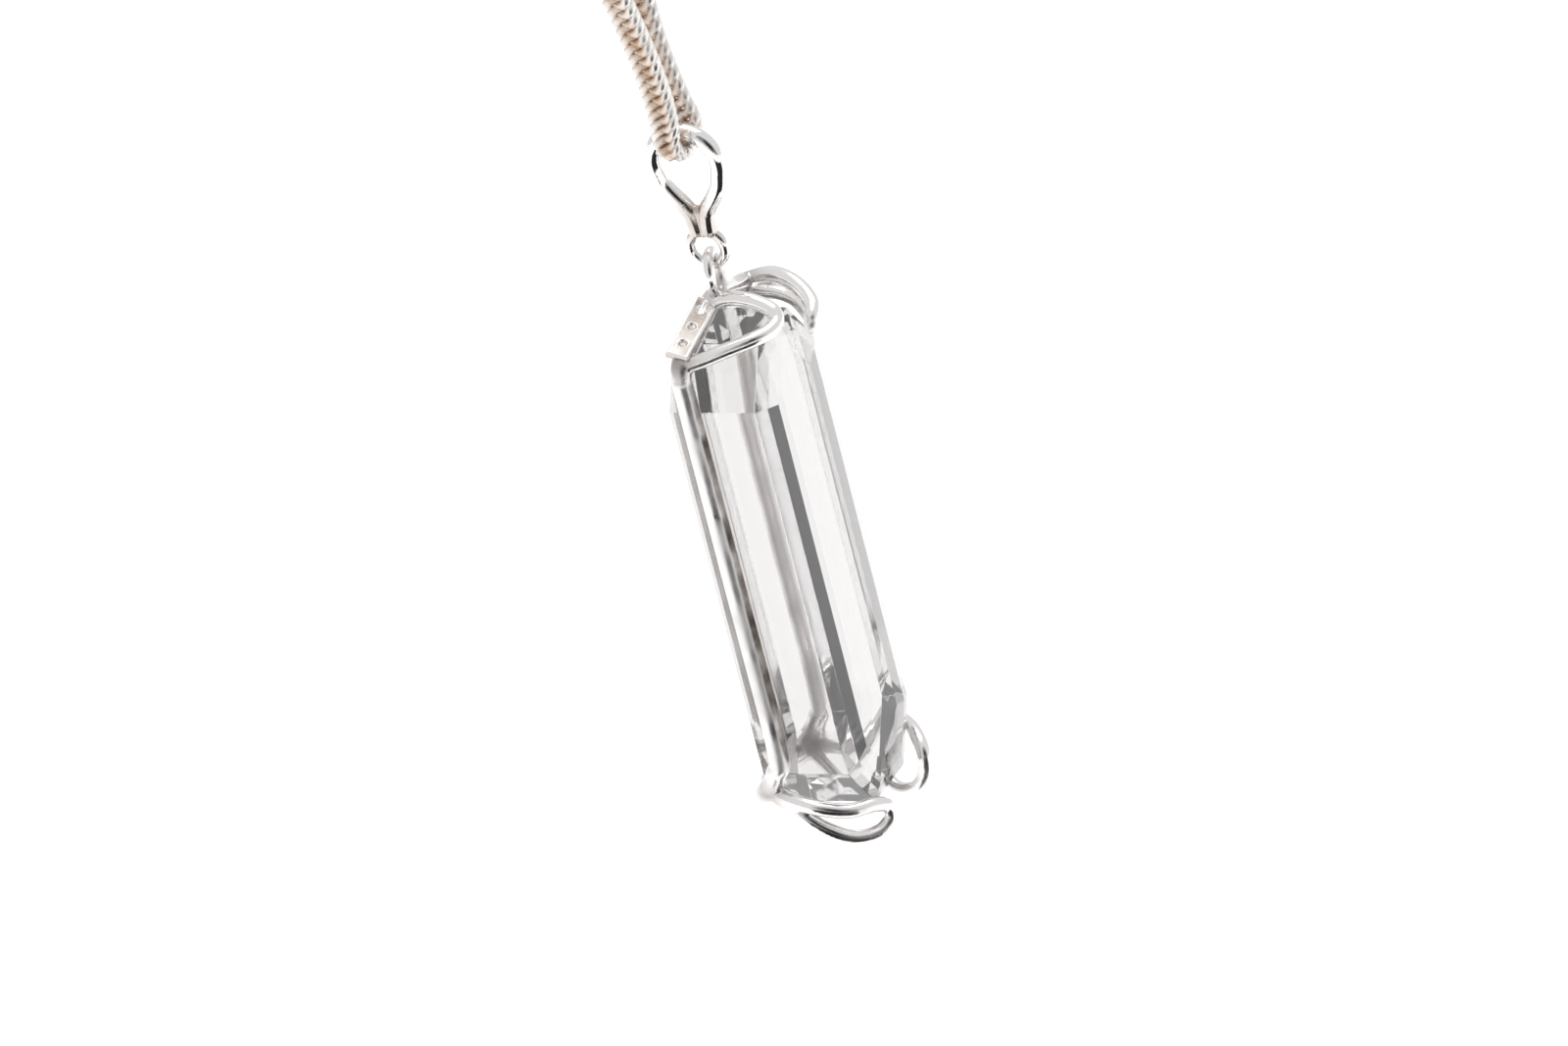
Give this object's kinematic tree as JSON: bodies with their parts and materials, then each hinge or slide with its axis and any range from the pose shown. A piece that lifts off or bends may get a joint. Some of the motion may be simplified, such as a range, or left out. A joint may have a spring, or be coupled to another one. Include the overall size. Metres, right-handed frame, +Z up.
{
  "type": "rock crystal pendant on a chain",
  "caption": "Long step-cut clear crystal held in a soldered wire hoop with looped prongs, hanging by a ring and a teardrop bail on a fine closed chain.",
  "frame": {"origin": "top of the chain's loop, at the middle of the clasp, where the chain hangs on a neck or a hook", "axes": "+Z up, -Y the pendant's front, X across its width"},
  "size_m": [0.0834, 0.0074, 0.234],
  "materials": {
    "crystal": "clear polished rock crystal",
    "silver_wire": "polished silver wire, darker in the solder joints",
    "silver_bail": "polished silver",
    "silver_chain": "polished silver links, warm grey between them",
    "silver_clasp": "polished silver"
  },
  "bodies": {
    "chain_loop": {"chain": "silver_chain", "clasp": "silver_clasp"},
    "bail": {"bail": "silver_bail"},
    "drop": {"stone": "crystal", "frame": "silver_wire"}
  },
  "joints": [
    {"name": "bail_swing", "type": "hinge", "parent": "chain_loop", "child": "bail", "pos_m": [0, 0, -0.19571], "axis": [1, 0, 0], "range_deg": [-90, 90]},
    {"name": "drop_swing", "type": "hinge", "parent": "bail", "child": "drop", "pos_m": [0, 0, -0.20149], "axis": [0, 1, 0], "range_deg": [-60, 60]}
  ]
}
